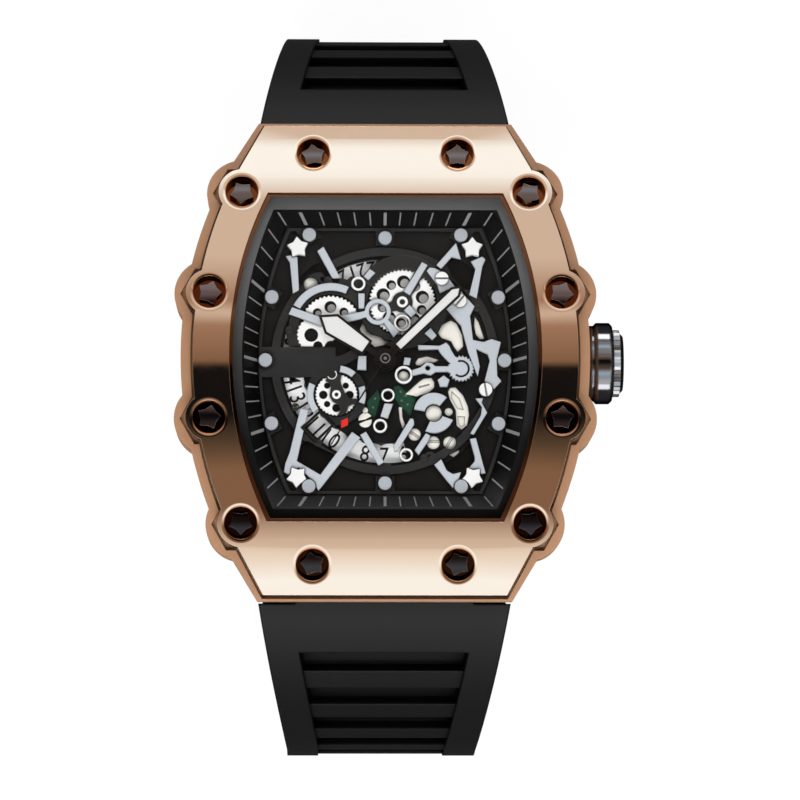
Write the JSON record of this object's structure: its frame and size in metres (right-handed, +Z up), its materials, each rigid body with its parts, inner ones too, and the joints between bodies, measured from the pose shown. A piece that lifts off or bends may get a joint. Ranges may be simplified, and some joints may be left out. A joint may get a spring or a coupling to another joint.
{
  "type": "tonneau wristwatch",
  "caption": "Barrel-shaped wristwatch with a curved screwed bezel, open-worked dial, date ring and closed ladder strap with a pin buckle.",
  "frame": {"origin": "on the strap's underside where the watch stands, straight below the axis of the hands", "axes": "+Z up out of the dial, +Y towards 12 o'clock, +X towards the crown at 3 o'clock"},
  "size_m": [0.0454, 0.0788, 0.0629],
  "materials": {
    "rose_gold": "rose gold plated steel, mirror polished on the bezel and satin on the rim",
    "dark_screw": "dark violet grey coated steel, satin",
    "gunmetal": "dark coated steel, polished",
    "steel": "satin",
    "silver": "satin silver plate",
    "white_nickel": "white nickel plate",
    "glass": "mineral glass",
    "gasket": "matt",
    "black": "satin black",
    "black_steel": "black lacquered steel",
    "grey_print": "grey print",
    "stud_grey": "light grey",
    "lume": "luminous paint",
    "ivory": "ivory moulding",
    "date": "matt white",
    "red": "gloss",
    "movement": "nickel plated brass",
    "gears": "brass",
    "copper": "enamelled copper wire",
    "board": "circuit board",
    "black_rubber": "matt black silicone",
    "holder": "moulded"
  },
  "bodies": {
    "case": {"case_middle": "rose_gold", "bezel": "rose_gold", "bezel_screws": "dark_screw", "bezel_gasket": "gasket", "crystal": "glass", "crystal_gasket": "gasket", "inner_flange": "black", "minute_ring": "black", "minute_marks": "grey_print", "hour_studs": "stud_grey", "dial_plate": "black", "dial_inlays": "silver", "split_ring": "silver", "ivory_train": "ivory", "lever_pinion": "silver", "jewel_settings": "white_nickel", "dial_star_bolts": "white_nickel", "dial_screws": "white_nickel", "date_window_frame": "black", "upper_dial_wheel": "white_nickel", "left_dial_wheel": "white_nickel", "lower_dial_wheel": "white_nickel", "main_plate": "movement", "movement_ring": "holder", "train_bridge": "movement", "movement_screws": "steel", "battery": "steel", "battery_clamp": "steel", "coil": "copper", "circuit_board": "board", "case_back": "steel", "case_back_gasket": "gasket", "case_back_screws": "steel", "crown_tube": "steel", "crown_seal": "gasket", "strap_bars": "steel"},
    "date_ring": {"date_disc": "date"},
    "hour": {"hour_wheel": "gears", "hour_hand": "black_steel", "hour_hand_lume": "lume"},
    "minute": {"cannon_pinion": "gears", "minute_hand": "black_steel", "minute_hand_lume": "lume"},
    "motion_wheel": {"minute_wheel": "gears"},
    "seconds": {"second_arbor": "steel", "second_hand": "black_steel", "second_hand_diamond": "red"},
    "setting_sleeve": {"setting_pinion": "steel"},
    "crown_and_stem": {"stem": "steel", "crown": "gunmetal", "crown_rim": "black", "crown_grip": "gunmetal", "crown_cap": "gunmetal"},
    "strap_12": {"strap_upper": "black_rubber", "buckle_bar": "steel", "fixed_keeper": "black_rubber"},
    "strap_6": {"strap_lower": "black_rubber"},
    "buckle": {"buckle_frame": "rose_gold"},
    "tongue": {"buckle_tongue": "rose_gold"},
    "keeper": {"free_keeper": "black_rubber"}
  },
  "joints": [
    {"name": "minute_turn", "type": "hinge", "parent": "case", "child": "minute", "pos_m": [0, 0, 0.05736], "axis": [0, 0, -1], "continuous": true},
    {"name": "hour_turn", "type": "hinge", "parent": "case", "child": "hour", "pos_m": [0, 0, 0.05736], "axis": [0, 0, -1], "continuous": true},
    {"name": "motion_wheel_turn", "type": "hinge", "parent": "case", "child": "motion_wheel", "pos_m": [-0.00348, -0.00162, 0.05736], "axis": [0, 0, -1], "continuous": true},
    {"name": "second_turn", "type": "hinge", "parent": "case", "child": "seconds", "pos_m": [0, 0, 0.05736], "axis": [0, 0, -1], "continuous": true},
    {"name": "date_turn", "type": "hinge", "parent": "case", "child": "date_ring", "pos_m": [0, 0, 0.05736], "axis": [0, 0, -1], "continuous": true},
    {"name": "crown_turn", "type": "hinge", "parent": "case", "child": "setting_sleeve", "pos_m": [0.0061, 0, 0.05551], "axis": [1, 0, 0], "continuous": true},
    {"name": "crown_pull", "type": "slide", "parent": "setting_sleeve", "child": "crown_and_stem", "axis": [1, 0, 0], "range_m": [0, 0.0012]},
    {"name": "strap_12_pivot", "type": "hinge", "parent": "case", "child": "strap_12", "pos_m": [0, 0.0216, 0.05401], "axis": [1, 0, 0], "range_deg": [0, 20]},
    {"name": "strap_6_pivot", "type": "hinge", "parent": "case", "child": "strap_6", "pos_m": [0, -0.0216, 0.05401], "axis": [-1, 0, 0], "range_deg": [0, 20]},
    {"name": "buckle_pivot", "type": "hinge", "parent": "strap_12", "child": "buckle", "pos_m": [0, 0.01746, 0.0019], "axis": [1, 0, 0], "range_deg": [-60, 30]},
    {"name": "tongue_pivot", "type": "hinge", "parent": "buckle", "child": "tongue", "pos_m": [0, 0.01746, 0.0019], "axis": [1, 0, 0], "range_deg": [0, 60]},
    {"name": "keeper_slide", "type": "hinge", "parent": "strap_12", "child": "keeper", "pos_m": [0, 0.01806, 0.02], "axis": [1, 0, 0], "range_deg": [0, 10]}
  ],
  "couplings": [
    {"joint": "hour_turn", "follows": "minute_turn", "ratio": 0.083333},
    {"joint": "motion_wheel_turn", "follows": "minute_turn", "ratio": -0.33333}
  ]
}
